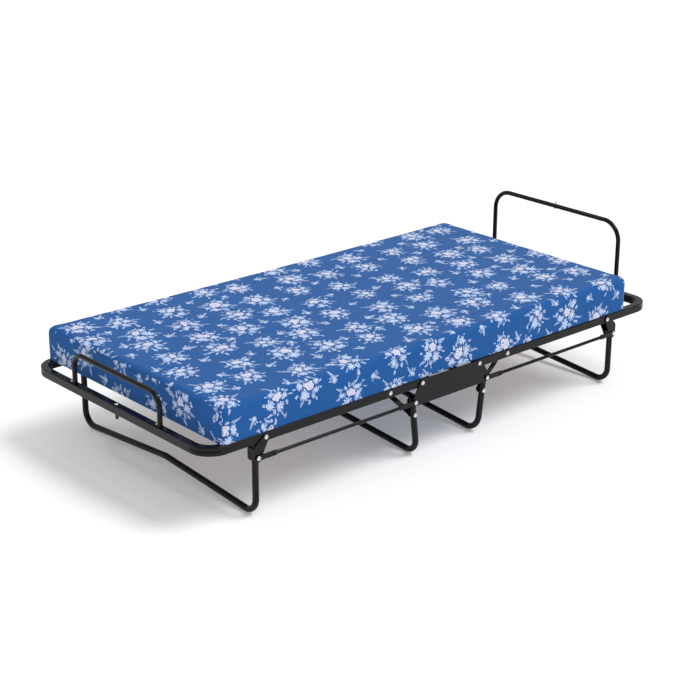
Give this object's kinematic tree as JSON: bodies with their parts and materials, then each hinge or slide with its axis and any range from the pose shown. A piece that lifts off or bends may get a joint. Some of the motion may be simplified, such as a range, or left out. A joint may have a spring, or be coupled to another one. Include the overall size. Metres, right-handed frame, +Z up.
{
  "type": "folding cot",
  "caption": "Folding guest bed on a tubular steel frame with U-shaped legs, slatted deck, end hoops and a printed foam mattress; folds up in the middle.",
  "frame": {"origin": "floor level, under the middle of the whole object", "axes": "+X from the foot end to the head end with the tall hoop, +Y across the cot, +Z up"},
  "size_m": [1.946, 0.923, 0.52],
  "materials": {
    "painted_steel": "gloss",
    "zinc_steel": "satin",
    "slat_wood": "satin",
    "cap_plastic": "matte",
    "mattress_fabric": "matte"
  },
  "bodies": {
    "base": {"center_plate_near": "painted_steel", "center_plate_far": "painted_steel", "center_cross_tube_foot": "painted_steel", "center_cross_tube_head": "painted_steel", "center_hinge_rivets": "zinc_steel", "mid_leg_pivot_rivets": "zinc_steel", "mattress_center": "mattress_fabric"},
    "foot_section": {"foot_frame": "painted_steel", "foot_slats": "slat_wood", "foot_slat_caps": "cap_plastic", "foot_hoop": "painted_steel", "foot_hoop_screws": "zinc_steel", "foot_strap_stud": "zinc_steel", "foot_strap_nut": "cap_plastic", "foot_link_rivets": "zinc_steel", "foot_leg_rivets": "zinc_steel", "mattress_foot": "mattress_fabric", "mattress_bend_foot": "mattress_fabric"},
    "foot_leg": {"foot_leg": "painted_steel", "foot_leg_bracket_near": "painted_steel", "foot_leg_bracket_far": "painted_steel", "foot_rod_rivets": "zinc_steel"},
    "foot_mid_leg": {"foot_mid_leg": "painted_steel", "foot_mid_leg_clips": "painted_steel", "foot_mid_leg_studs": "zinc_steel"},
    "foot_rods": {"foot_rod_near": "painted_steel", "foot_rod_far": "painted_steel"},
    "foot_links": {"foot_link_near": "painted_steel", "foot_link_far": "painted_steel", "foot_link_end_rivets": "zinc_steel"},
    "head_section": {"head_frame": "painted_steel", "head_slats": "slat_wood", "head_slat_caps": "cap_plastic", "head_hoop": "painted_steel", "head_hoop_screws": "zinc_steel", "head_strap_stud": "zinc_steel", "head_link_rivets": "zinc_steel", "head_leg_rivets": "zinc_steel", "mattress_head": "mattress_fabric", "mattress_bend_head": "mattress_fabric"},
    "head_leg": {"head_leg": "painted_steel", "head_leg_bracket_near": "painted_steel", "head_leg_bracket_far": "painted_steel", "head_rod_rivets": "zinc_steel"},
    "head_mid_leg": {"head_mid_leg": "painted_steel", "head_mid_leg_clips": "painted_steel", "head_mid_leg_studs": "zinc_steel"},
    "head_rods": {"head_rod_near": "painted_steel", "head_rod_far": "painted_steel"},
    "head_links": {"head_link_near": "painted_steel", "head_link_far": "painted_steel", "head_link_end_rivets": "zinc_steel"}
  },
  "joints": [
    {"name": "foot_fold", "type": "hinge", "parent": "base", "child": "foot_section", "pos_m": [-0.1385, 0, 0.245], "axis": [0, 1, 0], "range_deg": [0, 90], "deforming": ["mattress_bend_foot"]},
    {"name": "foot_leg_fold", "type": "hinge", "parent": "foot_section", "child": "foot_leg", "pos_m": [-0.7585, 0, 0.245], "axis": [0, -1, 0], "range_deg": [0, 90.5]},
    {"name": "foot_rod_turn", "type": "hinge", "parent": "base", "child": "foot_rods", "pos_m": [-0.1705, 0, 0.189], "axis": [0, 1, 0], "range_deg": [0, 90.5]},
    {"name": "foot_mid_leg_swing", "type": "hinge", "parent": "base", "child": "foot_mid_leg", "pos_m": [-0.1705, 0, 0.189], "axis": [0, 1, 0], "range_deg": [0, 183]},
    {"name": "foot_link_turn", "type": "hinge", "parent": "foot_section", "child": "foot_links", "pos_m": [-0.2705, 0, 0.245], "axis": [0, -1, 0], "range_deg": [0, 30]},
    {"name": "head_fold", "type": "hinge", "parent": "base", "child": "head_section", "pos_m": [0.1125, 0, 0.245], "axis": [0, -1, 0], "range_deg": [0, 90], "deforming": ["mattress_bend_head"]},
    {"name": "head_leg_fold", "type": "hinge", "parent": "head_section", "child": "head_leg", "pos_m": [0.7325, 0, 0.245], "axis": [0, 1, 0], "range_deg": [0, 90.5]},
    {"name": "head_rod_turn", "type": "hinge", "parent": "base", "child": "head_rods", "pos_m": [0.1445, 0, 0.189], "axis": [0, -1, 0], "range_deg": [0, 90.5]},
    {"name": "head_mid_leg_swing", "type": "hinge", "parent": "base", "child": "head_mid_leg", "pos_m": [0.1445, 0, 0.189], "axis": [0, -1, 0], "range_deg": [0, 183]},
    {"name": "head_link_turn", "type": "hinge", "parent": "head_section", "child": "head_links", "pos_m": [0.2445, 0, 0.245], "axis": [0, 1, 0], "range_deg": [0, 30]}
  ],
  "couplings": [
    {"joint": "foot_leg_fold", "follows": "foot_fold", "ratio": 1},
    {"joint": "foot_rod_turn", "follows": "foot_fold", "ratio": 1},
    {"joint": "foot_mid_leg_swing", "follows": "foot_fold", "ratio": 2.0256},
    {"joint": "foot_link_turn", "follows": "foot_fold", "ratio": 0.331},
    {"joint": "head_leg_fold", "follows": "head_fold", "ratio": 1},
    {"joint": "head_rod_turn", "follows": "head_fold", "ratio": 1},
    {"joint": "head_mid_leg_swing", "follows": "head_fold", "ratio": 2.0256},
    {"joint": "head_link_turn", "follows": "head_fold", "ratio": 0.331}
  ]
}
